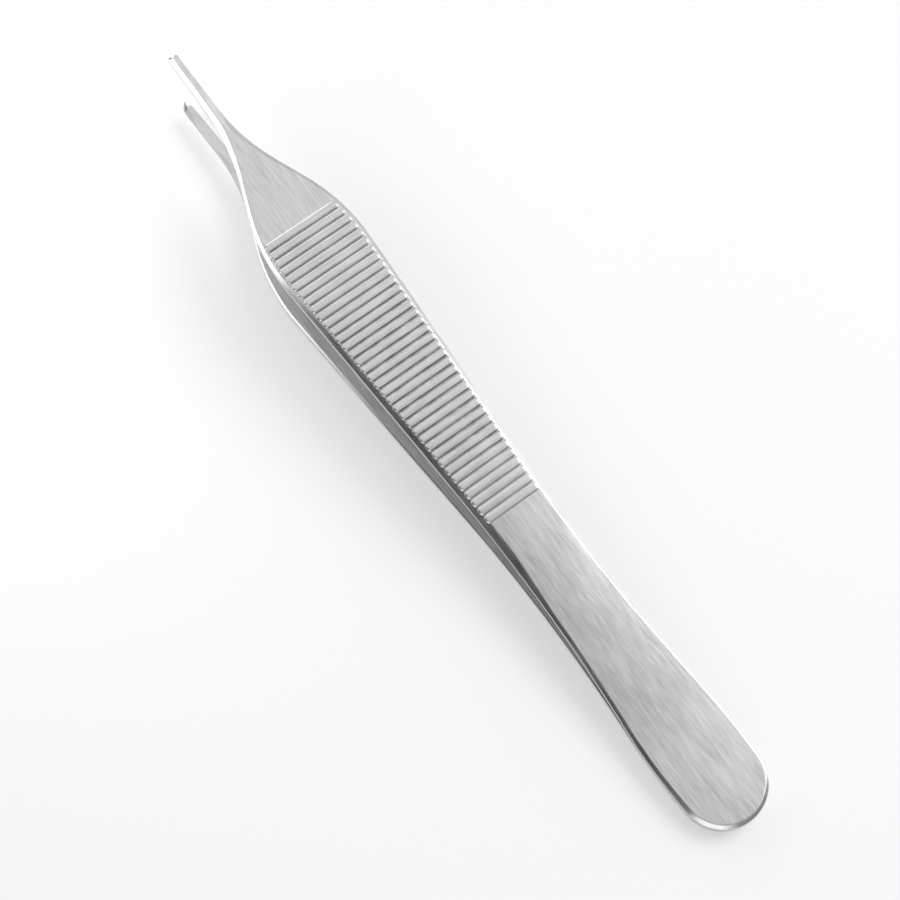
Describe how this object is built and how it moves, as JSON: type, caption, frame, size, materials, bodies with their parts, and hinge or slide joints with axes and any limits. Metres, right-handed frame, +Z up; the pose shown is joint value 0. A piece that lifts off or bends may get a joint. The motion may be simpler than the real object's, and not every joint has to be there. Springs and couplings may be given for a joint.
{
  "type": "thumb tissue forceps",
  "caption": "Spring thumb forceps of two steel arms welded at the rounded tail, with a fluted grip, waisted shanks and slim toothed beaks for holding tissue.",
  "frame": {"origin": "middle of the bounding box in plan, on the floor that the lower arm rests on", "axes": "+X along the tool from the welded tail to the toothed tips, +Z up from the floor, +Y across the arms"},
  "size_m": [0.1202, 0.0128, 0.0166],
  "materials": {
    "steel": "satin brushed stainless steel with polished edges"
  },
  "bodies": {
    "root": {"upper_arm": "steel", "lower_arm": "steel"}
  },
  "joints": []
}
